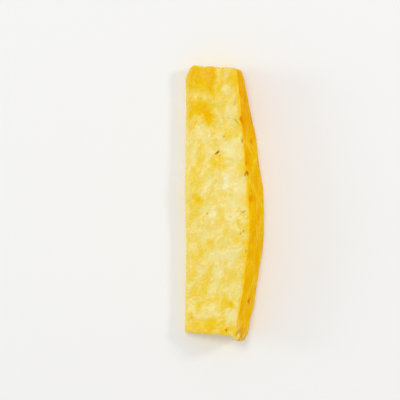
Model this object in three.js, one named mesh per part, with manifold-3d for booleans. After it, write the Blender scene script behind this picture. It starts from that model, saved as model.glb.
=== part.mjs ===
// A spear of fresh pineapple: a long wedge, cut lengthwise from a fruit that was peeled and cored first.
// It lies on one of its two cut faces, with the other one sloping down towards the core.
// Millimetres. X runs from the core to the peeled side, Y along the fruit to its crown end, and Z up.
// The origin is the middle of the footprint, at the level of the table.
//
// The wedge is a box that is bent round the fruit's axis. Its three box coordinates run from -1 to 1:
// "out" from the core to the peeled side, "along" from the stem end to the crown end, and "up" from the
// cut face that it lies on to the cut face that shows.

import * as THREE from "three";
import { mergeVertices } from "three/addons/utils/BufferGeometryUtils.js";
import Module from "manifold-3d";

const { clamp, degToRad, lerp } = THREE.MathUtils;
const TURN = 2 * Math.PI;

// The fruit, peeled and cored
const CORE_RADIUS = 12;
const WAIST_RADIUS = 46; // at its thickest
const WAIST_AT = -0.14; // where that is, as a share of the half length
const STEM_DROP = 7.4; // how much slimmer it is at the stem end
const STEM_CURVE = 1.5; // 1 would be a cone, and 2 a round barrel
const CROWN_DROP = { low: 11.2, high: 6.6 }; // the same at the crown end, along the lower and the upper edge
const CROWN_CURVE = { low: 1.7, high: 1.15 };

// The spear
const LENGTH = 119.5; // between the two end cuts, before they wander
const WEDGE_ANGLE = degToRad(32.5);
const EDGE_ROUND = 0.9; // of the long edges and the ends' edges

// The crown end, cut through round lobes of flesh
const CROWN_LOBE = { pitch: 8.1, start: 13.2, depth: 0.8 };
const CROWN_SLOPE = 0.083; // how far it falls back, for each millimetre outwards
const CROWN_LEVEL = 20; // the distance from the axis where the slope starts from nothing
const CROWN_CORNER = { radius: 16.5, rounding: 0.3 }; // the core corner, worn round inside that radius

// The stem end, with a torn lip along the peeled side
const STEM_SLOPE = 0.03; // how far it reaches out, for each millimetre outwards
const STEM_LEVEL = 34;
const STEM_LIP = { reach: 2.8, up: 0.7, thick: 2.3, above: 2.4, below: 13 };
const END_PULL = 6; // a high power: only the last stretch of the spear moves with the end cuts

// The relief of the upper cut face: where the knife wandered, and the fruit's flower segments
const KNIFE_WAVES = [
  { height: 0.4, along: 69, out: 160, start: 0.1 },
  { height: 0.22, along: 33, out: -57, start: 0.4 },
];
const SEGMENT = { pitch: 9.4, rise: 0.35, depth: 0.32, bend: 2, bend_out: 38, bend_along: 107 };
const SEGMENT_PATCH = { along: 53, out: 44 }; // how far apart the places are where the segments show

// The relief of the peeled side and of the core side
const PEEL_WAVE = { height: 0.2, along: 26, round: 31 };
const EYE_DIMPLE = { depth: 0.45, radius: 3 };
const CORE_RIB = { height: 0.22, pitch: 2.9, slant: 57 };

// The eyes that the peeling left, as a lattice on the peeled side
const EYE_ROW = 8.8; // from one row of eyes to the next
const EYE_COLUMN = 9; // from one column to the next: each row fills every second column
const EYE_STRAY = 1.4; // how far an eye sits from its place in the lattice
const EYE_MISSING = 0.3; // the share of them that the knife took off whole
const EYE_SIZE = [3.2, 2.2, 1.3]; // along the fruit, round it, and how deep
const EYE_SPREAD = 0.3; // how much larger or smaller an eye can be

// Seed hollows that the upper cut face opens: from the fruit's axis, along the fruit, and their length,
// width, depth and turn in degrees
const SEED_HOLLOWS = [
  { from_axis: 29.4, along: 21.8, size: [3.2, 1.6, 1.5], turn: 60 },
  { from_axis: 43.2, along: -13.4, size: [2.2, 1.5, 1.2], turn: 40 },
  { from_axis: 41.5, along: -14.5, size: [1.8, 1.3, 1], turn: 50 },
  { from_axis: 38.6, along: 43.9, size: [2.6, 1.6, 1], turn: 20 },
  { from_axis: 39.4, along: 34.6, size: [3.4, 1, 0.9], turn: -45 },
  { from_axis: 42, along: 26.7, size: [2.6, 2, 1.4], turn: 10 },
  { from_axis: 44.5, along: 11.9, size: [3.6, 2.2, 1.8], turn: 0 },
  { from_axis: 44.2, along: -22.4, size: [2.2, 1.6, 1.2], turn: 20 },
  { from_axis: 33.9, along: -57.5, size: [2.4, 1.8, 1.2], turn: 0 },
];

// How finely the box is divided
const CUTS_OUT = 14;
const CUTS_ALONG = 58;
const CUTS_UP = 9;
const EDGE_CROWDING = 0.8; // 0 spaces the cuts evenly, and 1 crowds them fully at the edges
const HOLLOW_SIDES = 7;
const HOLLOW_RINGS = 6;
const SAME_POINT = 1e-5; // points closer than this are one

// A number from 0 to 1 that looks drawn by chance, and is the same each time for the same seed.
function chance(seed) {
  const wild = Math.sin(seed * 12.9898 + 4.1) * 43758.5453;
  return wild - Math.floor(wild);
}

// Moves evenly spaced cuts closer together towards both edges of a face.
function crowd(share) {
  const quarter = (Math.PI / 2) * EDGE_CROWDING;
  return Math.sin(share * quarter) / Math.sin(quarter);
}

// A row of round lobes with sharp creases between them, from 0 in a crease to 1 on a lobe.
const lobes = (distance, pitch) => Math.abs(Math.sin((Math.PI * distance) / pitch));

// The peeled fruit's radius.
function peeledRadius(along, up) {
  if (along < WAIST_AT) {
    const way = (WAIST_AT - along) / (WAIST_AT + 1);
    return WAIST_RADIUS - STEM_DROP * way ** STEM_CURVE;
  }
  const way = (along - WAIST_AT) / (1 - WAIST_AT);
  const height = (up + 1) / 2;
  const drop = lerp(CROWN_DROP.low, CROWN_DROP.high, height);
  return WAIST_RADIUS - drop * way ** lerp(CROWN_CURVE.low, CROWN_CURVE.high, height);
}

// The eyes' places on the peeled side: arc from the lower edge, y along the fruit, and their size.
function eyeLattice() {
  const eyes = [];
  const rows = Math.floor(LENGTH / EYE_ROW);
  for (let row = 0; row < rows; row++) {
    const y = (row + 0.5 - rows / 2) * EYE_ROW;
    const first = row % 2 === 0 ? 0.5 : 1.5;
    const wide = peeledRadius((2 * y) / LENGTH, 0) * WEDGE_ANGLE;
    for (let arc = first * EYE_COLUMN; arc < wide; arc += 2 * EYE_COLUMN) {
      const seed = 10 * row + arc;
      if (chance(seed) < EYE_MISSING) continue;
      const stray = (shift) => EYE_STRAY * (2 * chance(seed + shift) - 1);
      const scale = 1 + EYE_SPREAD * (2 * chance(seed + 3) - 1);
      eyes.push({ arc: arc + stray(1), y: y + stray(2), scale });
    }
  }
  return eyes;
}
const EYES = eyeLattice();

// How far the upper cut face stands out, at a distance from the axis and a place along the fruit.
function cutRelief(fromAxis, y) {
  let relief = 0;
  for (const { height, along, out, start } of KNIFE_WAVES) {
    relief += height * Math.sin(TURN * (y / along + fromAxis / out + start));
  }
  const { pitch, rise, depth, bend, bend_out, bend_along } = SEGMENT;
  const swing = bend * Math.sin(TURN * (fromAxis / bend_out + y / bend_along));
  const climbed = y - rise * (fromAxis - CORE_RADIUS) + swing;
  const patch = Math.sin(TURN * (y / SEGMENT_PATCH.along + fromAxis / SEGMENT_PATCH.out));
  return relief + (depth * (1 + patch) * (lobes(climbed, pitch) - 0.6)) / 2;
}

// How far the peeled side stands out, with a shallow dimple round each eye.
function peelRelief(arc, y) {
  const away = EYES.map((eye) => Math.hypot(arc - eye.arc, y - eye.y));
  const dimple = Math.exp(-((Math.min(...away) / EYE_DIMPLE.radius) ** 2));
  const wave = Math.sin(TURN * (y / PEEL_WAVE.along + arc / PEEL_WAVE.round));
  return PEEL_WAVE.height * wave - EYE_DIMPLE.depth * dimple;
}

// How far the core side stands out, in the ribs that the coring left.
function coreRelief(arc, y) {
  return CORE_RIB.height * Math.sin(TURN * (arc / CORE_RIB.pitch + y / CORE_RIB.slant));
}

// How far the crown end reaches past the plain end cut.
function crownReach(fromAxis) {
  const lobe = CROWN_LOBE.depth * lobes(fromAxis - CROWN_LOBE.start, CROWN_LOBE.pitch);
  const corner = Math.max(0, CROWN_CORNER.radius - fromAxis);
  return lobe - CROWN_SLOPE * (fromAxis - CROWN_LEVEL) - CROWN_CORNER.rounding * corner ** 2;
}

// How far the stem end reaches past the plain end cut.
function stemReach(fromAxis, up) {
  const inwards = (peeledRadius(-1, up) - fromAxis) / STEM_LIP.thick;
  const round = ((up - STEM_LIP.up) * fromAxis * WEDGE_ANGLE) / 2;
  const sideways = round / (round > 0 ? STEM_LIP.above : STEM_LIP.below);
  const lip = STEM_LIP.reach * Math.exp(-(inwards ** 2) - sideways ** 2);
  return STEM_SLOPE * (fromAxis - STEM_LEVEL) + lip;
}

// Carries a point of the box to its place on the spear.
function placeOnSpear(out, along, up) {
  const outer = peeledRadius(along, up);
  const middle = (outer + CORE_RADIUS) / 2;
  const halfOut = (outer - CORE_RADIUS) / 2;
  const fromAxis = middle + out * halfOut;
  const halfUp = (fromAxis * WEDGE_ANGLE) / 2;

  // The box in millimetres, its edges rounded
  const half = new THREE.Vector3(halfOut, LENGTH / 2, halfUp);
  const at = new THREE.Vector3(out, along, up).multiply(half);
  const inner = half.clone().subScalar(EDGE_ROUND);
  const kept = at.clone().clamp(inner.clone().negate(), inner);
  const outward = at.clone().sub(kept).normalize();
  at.copy(kept).addScaledVector(outward, EDGE_ROUND);

  // The relief of each face counts as far as the point faces that way; the face below stays flat
  const radius = middle + at.x;
  const arc = at.z + halfUp;
  let relief = 0;
  if (outward.z > 0) relief += outward.z ** 2 * cutRelief(radius, at.y);
  if (outward.x > 0) relief += outward.x ** 2 * peelRelief(arc, at.y);
  if (outward.x < 0) relief += outward.x ** 2 * coreRelief(arc, at.y);
  at.addScaledVector(outward, relief);

  // The end cuts carry the last stretch of the spear with them
  const reach = along > 0 ? crownReach(radius) : -stemReach(radius, up);
  const y = at.y + Math.abs(along) ** END_PULL * reach;

  // The bend round the fruit's axis
  const angle = clamp(WEDGE_ANGLE / 2 + at.z / fromAxis, 0, Math.PI);
  const r = middle + at.x;
  return [r * Math.cos(angle), y, r * Math.sin(angle)];
}

// A geometry with positions alone, its shared points joined.
function merged(geometry) {
  geometry.deleteAttribute("normal");
  geometry.deleteAttribute("uv");
  return mergeVertices(geometry, SAME_POINT);
}

// The wedge, as a finely divided box with each point carried to its place.
function wedgeGeometry() {
  const wedge = merged(new THREE.BoxGeometry(2, 2, 2, CUTS_OUT, CUTS_ALONG, CUTS_UP));
  const point = wedge.attributes.position;
  for (let i = 0; i < point.count; i++) {
    const place = placeOnSpear(crowd(point.getX(i)), crowd(point.getY(i)), crowd(point.getZ(i)));
    point.setXYZ(i, ...place);
  }
  return wedge;
}

// A small hollow, sunk in a face at an angle round the fruit: size is its length, width and depth.
function hollowGeometry(fromAxis, y, angle, facing, size, turn) {
  const egg = merged(new THREE.SphereGeometry(1, HOLLOW_SIDES, HOLLOW_RINGS));
  egg.scale(size[1] / 2, size[0] / 2, size[2]);
  egg.rotateZ(-degToRad(turn));
  egg.rotateY(Math.PI / 2 - facing);
  egg.translate(fromAxis * Math.cos(angle), y, fromAxis * Math.sin(angle));
  return egg;
}

// The hollows that the upper cut face opens.
function seedHollows() {
  const facing = WEDGE_ANGLE + Math.PI / 2;
  return SEED_HOLLOWS.map((hollow) => {
    return hollowGeometry(hollow.from_axis, hollow.along, WEDGE_ANGLE, facing, hollow.size, hollow.turn);
  });
}

// The eyes that the peeled side still shows.
function eyeHollows() {
  return EYES.map(({ arc, y, scale }) => {
    const radius = peeledRadius((2 * y) / LENGTH, 0);
    const size = EYE_SIZE.map((length) => length * scale);
    return hollowGeometry(radius, y, arc / radius, arc / radius, size, 0);
  });
}

const wasm = await Module();
wasm.setup();

function solidOf(geometry) {
  const vertProperties = new Float32Array(geometry.attributes.position.array);
  const triVerts = new Uint32Array(geometry.index.array);
  return new wasm.Manifold(new wasm.Mesh({ numProp: 3, vertProperties, triVerts }));
}

function geometryOf(solid) {
  const mesh = solid.getMesh();
  const geometry = new THREE.BufferGeometry();
  geometry.setAttribute("position", new THREE.BufferAttribute(mesh.vertProperties, 3));
  geometry.setIndex(new THREE.BufferAttribute(mesh.triVerts, 1));
  return geometry;
}

// The wedge with its hollows, moved so that the origin is the middle of its footprint.
function spearGeometry() {
  const hollows = [...seedHollows(), ...eyeHollows()].map(solidOf);
  const whole = hollows.reduce((rest, hollow) => rest.subtract(hollow), solidOf(wedgeGeometry()));
  const geometry = geometryOf(whole);
  geometry.computeBoundingBox();
  const { min, max } = geometry.boundingBox;
  geometry.translate(-(min.x + max.x) / 2, -(min.y + max.y) / 2, -min.z);
  geometry.computeVertexNormals();
  return geometry;
}

const flesh = new THREE.MeshStandardMaterial({ color: 0xf2db7c, roughness: 0.42, metalness: 0 });
const spear = new THREE.Mesh(spearGeometry(), flesh);
spear.name = "pineapple_spear";

const part = new THREE.Group();
part.add(spear);

export default part;
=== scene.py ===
# %% [markdown]
# # A spear of fresh pineapple
# A spear is a long wedge, cut lengthwise from a pineapple that was peeled and cored first. This one lies
# on one of its two cut faces. The picture looks straight down on the other cut face, which slopes to the
# core side, and on the golden peeled side to the right of it.
# The solid that we load holds the spear's plain form at its real size. Here the same form is built with
# far more points, so that it can carry fibres, small holes and torn flesh. Painting the solid alone would
# be quicker, but close up it would look as smooth as wax.

import math
from itertools import product

import bpy
import numpy as np
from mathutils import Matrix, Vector


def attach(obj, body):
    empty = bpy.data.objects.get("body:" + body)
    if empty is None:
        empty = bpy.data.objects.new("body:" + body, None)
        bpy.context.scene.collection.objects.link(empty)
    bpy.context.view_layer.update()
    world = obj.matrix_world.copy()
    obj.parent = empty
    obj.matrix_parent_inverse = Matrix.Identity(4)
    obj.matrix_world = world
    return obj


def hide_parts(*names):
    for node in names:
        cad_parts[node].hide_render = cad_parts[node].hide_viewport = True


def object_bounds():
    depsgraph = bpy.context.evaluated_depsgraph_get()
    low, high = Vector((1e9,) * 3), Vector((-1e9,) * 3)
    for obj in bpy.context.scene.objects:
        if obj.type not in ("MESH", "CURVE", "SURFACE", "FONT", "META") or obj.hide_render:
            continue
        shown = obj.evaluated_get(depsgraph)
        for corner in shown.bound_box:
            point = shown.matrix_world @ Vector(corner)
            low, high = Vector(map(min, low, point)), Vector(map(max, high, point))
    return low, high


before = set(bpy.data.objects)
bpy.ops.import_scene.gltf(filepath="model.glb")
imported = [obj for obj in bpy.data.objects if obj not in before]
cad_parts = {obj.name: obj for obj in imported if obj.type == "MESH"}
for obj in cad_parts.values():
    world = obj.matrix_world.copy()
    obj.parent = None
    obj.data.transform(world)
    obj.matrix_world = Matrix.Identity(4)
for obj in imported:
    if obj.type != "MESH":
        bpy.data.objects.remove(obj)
cad_low, cad_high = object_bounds()
MM = 0.001
print("the solid measures", [round(size / MM, 1) for size in cad_high - cad_low], "mm")

# %% [markdown]
# ## Camera
# The photo was taken from straight above, and from so far away that the raised edge of the fruit looks
# hardly larger than its foot. A long lens a metre up does the same. The spear lies right of the picture's
# middle. We could shift the lens, but moving the camera sideways is plainer and keeps other views simple.

# %% Camera over the table
PICTURE_WIDTH = 400  # pixels
PIXEL = 0.4513 * MM  # what one of them spans at the level of the table
SPEAR_AT = (224.25, 202.6)  # the pixel over the spear's origin, from the upper left corner
LENS = 200
SENSOR = 36

eye_height = PICTURE_WIDTH * PIXEL * LENS / SENSOR
eye_x = (PICTURE_WIDTH / 2 - SPEAR_AT[0]) * PIXEL
eye_y = (SPEAR_AT[1] - PICTURE_WIDTH / 2) * PIXEL
camera_data = bpy.data.cameras.new("camera")
camera_data.lens = LENS
camera_data.sensor_width = SENSOR
camera = bpy.data.objects.new("camera", camera_data)
camera.location = (eye_x, eye_y, eye_height)
bpy.context.collection.objects.link(camera)
bpy.context.scene.camera = camera
print("the camera is", round(eye_height, 3), "m above the table")

# %% [markdown]
# ## Light
# Fruit in a studio is lit through a tent: white light from everywhere, a little stronger from above. A
# white world does most of it. What makes fruit look wet is that it mirrors the lamps, so there are three
# soft ones: one at the right for the peeled side, one above, and a low one at the core side, which the cut
# face mirrors into the lens, because it slopes that way.

# %% World and lamps
WORLD_LIGHT = 0.62
LAMPS = {
    # size in metres, power in watts, place
    "peel_side_lamp": (0.2, 2.3, (0.85, 0.3, 0.75)),
    "upper_lamp": (0.3, 3.0, (-0.15, 0.25, 1.2)),
    "core_side_lamp": (0.34, 1.45, (-0.95, 0.1, 0.48)),
}

world = bpy.data.worlds.new("studio")
world.use_nodes = True
world.node_tree.nodes["Background"].inputs["Strength"].default_value = WORLD_LIGHT
world.node_tree.nodes["Background"].inputs["Color"].default_value = (1, 1, 1, 1)
bpy.context.scene.world = world
for name, (size, power, place) in LAMPS.items():
    lamp = bpy.data.lights.new(name, "AREA")
    lamp.size = size
    lamp.energy = power
    stand = bpy.data.objects.new(name, lamp)
    stand.location = place
    stand.rotation_euler = (-Vector(place)).to_track_quat("-Z", "Y").to_euler()
    bpy.context.collection.objects.link(stand)
bpy.context.scene.view_settings.view_transform = "Standard"
bpy.context.scene.cycles.use_denoising = True
print(len(LAMPS), "lamps in a white room")

# %% [markdown]
# ## Floor
# The fruit lies on a pale table that shows nothing but its soft shade. We could leave the table out, but
# then the fruit would float, and no light would be thrown back on its lower edges. One flat dull face
# does, and it counts as stage and not as fruit.

# %% Pale table
FLOOR_SIZE = 6
FLOOR_DROP = 0.02 * MM  # a hair below the fruit, so that the two faces don't flicker
FLOOR_SHADE = (0.93, 0.928, 0.92, 1)
FLOOR_ROUGHNESS = 0.7
FLOOR_SHINE = 0.2
FLOOR_SIGNS = ((-1, -1), (1, -1), (1, 1), (-1, 1))

floor_mesh = bpy.data.meshes.new("floor")
floor_corners = [(x * FLOOR_SIZE / 2, y * FLOOR_SIZE / 2, -FLOOR_DROP) for x, y in FLOOR_SIGNS]
floor_mesh.from_pydata(floor_corners, [], [(0, 1, 2, 3)])
floor = bpy.data.objects.new("floor", floor_mesh)
bpy.context.collection.objects.link(floor)
floor_finish = bpy.data.materials.new("pale_table")
floor_finish.use_nodes = True
floor_shader = floor_finish.node_tree.nodes["Principled BSDF"]
floor_shader.inputs["Base Color"].default_value = FLOOR_SHADE
floor_shader.inputs["Roughness"].default_value = FLOOR_ROUGHNESS
floor_shader.inputs["Specular IOR Level"].default_value = FLOOR_SHINE
floor_mesh.materials.append(floor_finish)
print("a pale floor of", FLOOR_SIZE, "m")

# %% [markdown]
# ## The form of the wedge
# A peeled pineapple is a barrel round its axis, so the peeled side is easiest to say as a radius that
# shrinks from the waist to both ends. At the crown end the knife left more flesh along the upper edge than
# along the lower one. "along" runs from -1 at the stem end to 1 at the crown end, and "up" from -1 on the
# lower cut face to 1 on the upper one. These are the sizes of the solid, said again.

# %% Radius of the peeled fruit
CORE_RADIUS = 12 * MM
WAIST_RADIUS = 46 * MM
WAIST_AT = -0.14
STEM_DROP = 7.4 * MM
STEM_CURVE = 1.5
CROWN_DROP = (11.2 * MM, 6.6 * MM)  # along the lower edge, along the upper one
CROWN_CURVE = (1.7, 1.15)
LENGTH = 119.5 * MM
WEDGE_ANGLE = math.radians(32.5)
TURN = 2 * math.pi


def between(first, second, share):
    """The value a share of the way from the first to the second."""
    return first + (second - first) * share


def peeled_radius(along, up):
    """How far the peeled side is from the fruit's axis."""
    to_stem = np.maximum(0, WAIST_AT - along) / (WAIST_AT + 1)
    to_crown = np.maximum(0, along - WAIST_AT) / (1 - WAIST_AT)
    height = (up + 1) / 2
    curve = between(*CROWN_CURVE, height)
    crown_drop = between(*CROWN_DROP, height) * to_crown**curve
    return WAIST_RADIUS - STEM_DROP * to_stem**STEM_CURVE - crown_drop


upper_radii = [round(peeled_radius(at, 1) / MM, 1) for at in (-1, WAIST_AT, 1)]
print("radius at stem end, waist and crown end:", upper_radii, "mm")

# %% [markdown]
# ## Chance
# Nothing on a fruit repeats, so most of what follows needs soft hills and hollows that look drawn by
# chance. Blender has noise textures for that, but here we also want the same hills in the mesh. A small
# table of seeded random numbers, blended smoothly between its places, gives them to whole arrays at once.
# The last number in each call below is a seed, so that no two reliefs share their hills.

# %% Soft noise for arrays
TABLE_SIZE = 32
CHANCE = np.random.default_rng(11).uniform(-1, 1, (TABLE_SIZE,) * 3)
SEED_STEP = 7.3  # how far apart two seeds read the table
LAYERS_REACH = 1.5  # brings several added layers back to about -1 to 1


def soft_noise(x, y, z, seed=0):
    """Smooth values from -1 to 1, with a new one at every whole number."""
    spot = np.stack(np.broadcast_arrays(x, y, z)).astype(float) + SEED_STEP * seed
    cell = np.floor(spot).astype(int)
    part = spot - cell
    ease = part * part * (3 - 2 * part)
    total = 0
    for corner in product((0, 1), repeat=3):
        weight = 1
        for axis in range(3):
            weight = weight * (ease[axis] if corner[axis] else 1 - ease[axis])
        pick = tuple((cell[axis] + corner[axis]) % TABLE_SIZE for axis in range(3))
        total = total + weight * CHANCE[pick]
    return total


def rough_noise(x, y, z, seed=0, layers=3):
    """Soft noise with finer and weaker noise added to it."""
    total = 0
    for layer in range(layers):
        total = total + soft_noise(x * 2**layer, y * 2**layer, z * 2**layer, seed + layer) / 2**layer
    return total / LAYERS_REACH


print("soft noise at three places:", soft_noise(np.array([0.1, 2.5, 9.9]), 0.0, 0.0).round(2))

# %% Soft steps and dents
def step_up(value, start, end):
    """0 up to the start, 1 from the end on, and smooth between."""
    share = np.clip((value - start) / (end - start), 0, 1)
    return share * share * (3 - 2 * share)


def dent(distance, radius):
    """1 in the middle, and fading out over a radius."""
    return np.exp(-((distance / radius) ** 2))


def lobes(distance, pitch):
    """Round lobes with sharp creases between them: 0 in a crease and 1 on a lobe."""
    return np.abs(np.sin(math.pi * distance / pitch))


print("half way up a step it is", step_up(0.5, 0, 1), "and half way out of a dent", round(dent(0.5, 1), 2))

# %% [markdown]
# ## The end cuts
# The crown end was cut through the flower segments, so its edge is a row of round lobes, and its core
# corner is worn round. At the stem end a lip of torn flesh stands out along the peeled side. We could cut
# the ends with other meshes. Saying how far each end reaches past a plain straight cut is smoother, and it
# keeps the rows of points whole.

# %% How far the ends reach
LOBE_PITCH = 8.1 * MM
LOBE_START = 13.2 * MM
LOBE_DEPTH = 0.8 * MM
LOBE_WANDER = (1.2 * MM, 9 * MM)  # how far, and over which way out
CROWN_SLOPE = 0.083
CROWN_LEVEL = 20 * MM
CROWN_CORNER = 16.5 * MM
CROWN_ROUNDING = 0.3 / MM
STEM_SLOPE = 0.03
STEM_LEVEL = 34 * MM
LIP_REACH = 2.8 * MM
LIP_UP = 0.7
LIP_THICK = 2.3 * MM
LIP_ABOVE = 2.4 * MM
LIP_BELOW = 13 * MM
LIP_RAGGED = 0.35
LIP_GRAIN = 1.5 * MM


def crown_reach(from_axis, up):
    """How far the crown end stands out. Lower down the lobes wander a little."""
    far, over = LOBE_WANDER
    wander = far * soft_noise(from_axis / over, 2 * up, 0.5) * (1 - up) / 2
    lobe = LOBE_DEPTH * lobes(from_axis - LOBE_START + wander, LOBE_PITCH)
    corner = np.maximum(0, CROWN_CORNER - from_axis)
    return lobe - CROWN_SLOPE * (from_axis - CROWN_LEVEL) - CROWN_ROUNDING * corner**2


def stem_reach(from_axis, up):
    """How far the stem end stands out, with the torn lip along the peeled side."""
    inwards = (peeled_radius(-1, up) - from_axis) / LIP_THICK
    sideways = (up - LIP_UP) * from_axis * WEDGE_ANGLE / 2
    sideways = sideways / np.where(sideways > 0, LIP_ABOVE, LIP_BELOW)
    lip = LIP_REACH * np.exp(-(inwards**2) - sideways**2)
    ragged = 1 + LIP_RAGGED * soft_noise(from_axis / LIP_GRAIN, 7 * up, 2.5, 3)
    return STEM_SLOPE * (from_axis - STEM_LEVEL) + lip * ragged


print("the lip stands out", round(float(stem_reach(38.5 * MM, LIP_UP)) / MM, 1), "mm")

# %% [markdown]
# ## Holes
# A pineapple is many small fruits grown together. Each has an eye in the rind with seed chambers behind it,
# and the upper cut face opens a few of those near the peeled side, as small brown holes. They could be cut
# out with other meshes, but real ones have soft sides. So each is an ellipse with a ragged rim that sinks
# into the flesh, and the same mask browns it later.

# %% Holes in the upper cut face
HOLES = [
    # from the axis, along the fruit, length, width, depth in mm, turn in degrees, and how brown it is
    (28.9, 21.4, 2.7, 1.1, 0.6, 62, 0.6),
    (30.5, 20.2, 1.3, 0.9, 0.4, 20, 0.25),
    (43.2, -13.4, 1.5, 1.1, 0.6, 40, 0.35),
    (41.6, -14.5, 1.4, 0.9, 0.6, 50, 0.35),
    (38.6, 43.9, 3.0, 1.8, 0.5, 20, 0.15),
    (39.4, 34.8, 3.8, 0.6, 0.6, -45, 0.35),
    (42.0, 26.6, 2.0, 1.4, 1.0, 10, 0.45),
    (44.5, 12.0, 2.4, 1.2, 1.3, 0, 0.9),
    (43.0, -5.0, 3.8, 0.8, 0.6, 65, 0.34),
    (44.0, -22.4, 1.8, 1.2, 0.8, 20, 0.2),
    (33.9, -57.5, 2.0, 1.3, 0.7, 0, 0.42),
    (24.1, -5.7, 1.2, 0.7, 0.5, 0, 0.5),
    (32.4, 28.6, 1.1, 0.8, 0.5, 30, 0.38),
    (35.2, 36.6, 5.4, 0.5, 0.25, -80, 0.15),
]
RIM_RAGGED = 0.35
RIM_GRAIN = 0.9 * MM
RIM_END = 1.35  # where the rim ends, in half lengths from the middle


def in_hole(across, along, hole, seed):
    """How far a place is inside a hole: 1 in its middle, 0 at its rim and outside."""
    middle_across, middle_along, length, width, _, turn, _ = hole
    side = across - middle_across * MM
    ahead = along - middle_along * MM
    cosine, sine = math.cos(math.radians(turn)), math.sin(math.radians(turn))
    lengthwise = (ahead * cosine + side * sine) / (length * MM / 2)
    crosswise = (side * cosine - ahead * sine) / (width * MM / 2)
    ragged = 1 + RIM_RAGGED * soft_noise(across / RIM_GRAIN, along / RIM_GRAIN, 0.0, seed)
    distance = np.sqrt(lengthwise**2 + crosswise**2) * ragged
    return step_up(RIM_END - distance, 0, 1)


print(len(HOLES), "holes in the upper cut face")

# %% [markdown]
# ## Eyes
# Peeling takes the rind off but leaves the feet of the eyes, shallow pits in a slanting lattice, one row
# of small fruits set between the next. We could place each by hand. A lattice with a little stray and a
# few gaps looks as grown, needs only the sizes below, and gives the middles of all the small fruits too.

# %% Eyes on the peeled side
EYE_ROW = 8.8 * MM
EYE_COLUMN = 9  # in mm, because it seeds the chance below
EYE_STRAY = 1.4
EYE_MISSING = 0.3
EYE_SIZE = (3.2, 2.2, 1.3)  # along the fruit, round it, and how deep, in mm
EYE_SPREAD = 0.3
WILD_TURN, WILD_START, WILD_REACH = 12.9898, 4.1, 43758.5453  # the solid draws its eyes with them too


def seeded_chance(seed):
    """A number from 0 to 1 that looks drawn by chance and is the same each time."""
    wild = math.sin(seed * WILD_TURN + WILD_START) * WILD_REACH
    return wild - math.floor(wild)


def eye_lattice():
    """The eyes as holes: arc from the lower edge, along the fruit, length, width, depth, turn, brown.

    With them come the middles of all the small fruits, those whose eye the knife took off too.
    """
    eyes = []
    middles = []
    rows = math.floor(LENGTH / EYE_ROW)
    for row in range(rows):
        along = (row + 0.5 - rows / 2) * EYE_ROW
        wide = peeled_radius(2 * along / LENGTH, 0) * WEDGE_ANGLE / MM
        arc = EYE_COLUMN * (0.5 if row % 2 == 0 else 1.5)
        while arc < wide:
            seed = 10 * row + arc
            stray = [EYE_STRAY * (2 * seeded_chance(seed + shift) - 1) for shift in (1, 2)]
            scale = 1 + EYE_SPREAD * (2 * seeded_chance(seed + 3) - 1)
            middles.append((arc + stray[0], along / MM + stray[1]))
            if seeded_chance(seed) >= EYE_MISSING:
                size = [scale * length for length in EYE_SIZE]
                eyes.append((arc + stray[0], along / MM + stray[1], *size, 0, seeded_chance(seed + 4)))
            arc += 2 * EYE_COLUMN
    return eyes, middles


EYES, FRUIT_MIDDLES = eye_lattice()
SPECKS = [
    # brown marks that the peeling left: arc from the lower edge, along the fruit, and the rest as for holes
    (20.2, 8.8, 0.9, 0.7, 0.3, 0, 0.8),
    (21.8, 4.5, 1.2, 0.8, 0.3, 20, 0.7),
    (24.2, 12.6, 2.4, 1.3, 0.3, 60, 0.35),
    (9.0, -31.0, 1.4, 0.8, 0.3, 15, 0.8),
    (14.5, 27.5, 1.2, 0.9, 0.3, -30, 0.7),
]
print(len(EYES), "eyes of", len(FRUIT_MIDDLES), "small fruits on the peeled side")

# %% [markdown]
# ## The broad relief of each face
# The solid's broad relief comes first: long waves where the knife wandered, the flower segments that climb
# outwards, a dimple round each eye, and the ribs that the corer left. It could be a bump in the material,
# but a true relief also shows at the outline, and it is still there in a plain mesh.

# %% Broad relief
KNIFE_WAVES = [
    # height, along, out, start
    (0.4 * MM, 69 * MM, 160 * MM, 0.1),
    (0.22 * MM, 33 * MM, -57 * MM, 0.4),
]
SEGMENT_PITCH = 9.4 * MM
SEGMENT_RISE = 0.35
SEGMENT_DEPTH = 0.32 * MM
SEGMENT_BEND = (2 * MM, 38 * MM, 107 * MM)  # how far it swings, and over which way out and along
SEGMENT_PATCHES = (53 * MM, 44 * MM)  # along and out
LOBE_MIDDLE = 0.6  # about the mean of the lobes, so that the relief goes both ways
PEEL_WAVE = (0.2 * MM, 26 * MM, 31 * MM)  # height, along, round
EYE_DIMPLE = (0.45 * MM, 3 * MM)  # depth, radius
CORE_RIB = (0.22 * MM, 2.9 * MM, 57 * MM)  # height, round, along


def climbed(from_axis, along):
    """How far along the fruit the flower segment of a place starts at the core."""
    swing, out_way, long_way = SEGMENT_BEND
    swing = swing * np.sin(TURN * (from_axis / out_way + along / long_way))
    return along - SEGMENT_RISE * (from_axis - CORE_RADIUS) + swing


def cut_relief(from_axis, along):
    """The knife's waves and the flower segments, where they show."""
    relief = 0
    for height, long_way, out_way, start in KNIFE_WAVES:
        relief = relief + height * np.sin(TURN * (along / long_way + from_axis / out_way + start))
    patch = np.sin(TURN * (along / SEGMENT_PATCHES[0] + from_axis / SEGMENT_PATCHES[1]))
    segment = lobes(climbed(from_axis, along), SEGMENT_PITCH) - LOBE_MIDDLE
    return relief + SEGMENT_DEPTH * (1 + patch) * segment / 2


def peel_relief(arc, along):
    """Long shallow waves, and a dimple round each eye."""
    height, long_way, round_way = PEEL_WAVE
    depth, wide = EYE_DIMPLE
    away = [np.hypot(arc - eye[0] * MM, along - eye[1] * MM) for eye in EYES]
    wave = height * np.sin(TURN * (along / long_way + arc / round_way))
    return wave - depth * dent(np.min(away, axis=0), wide)


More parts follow.
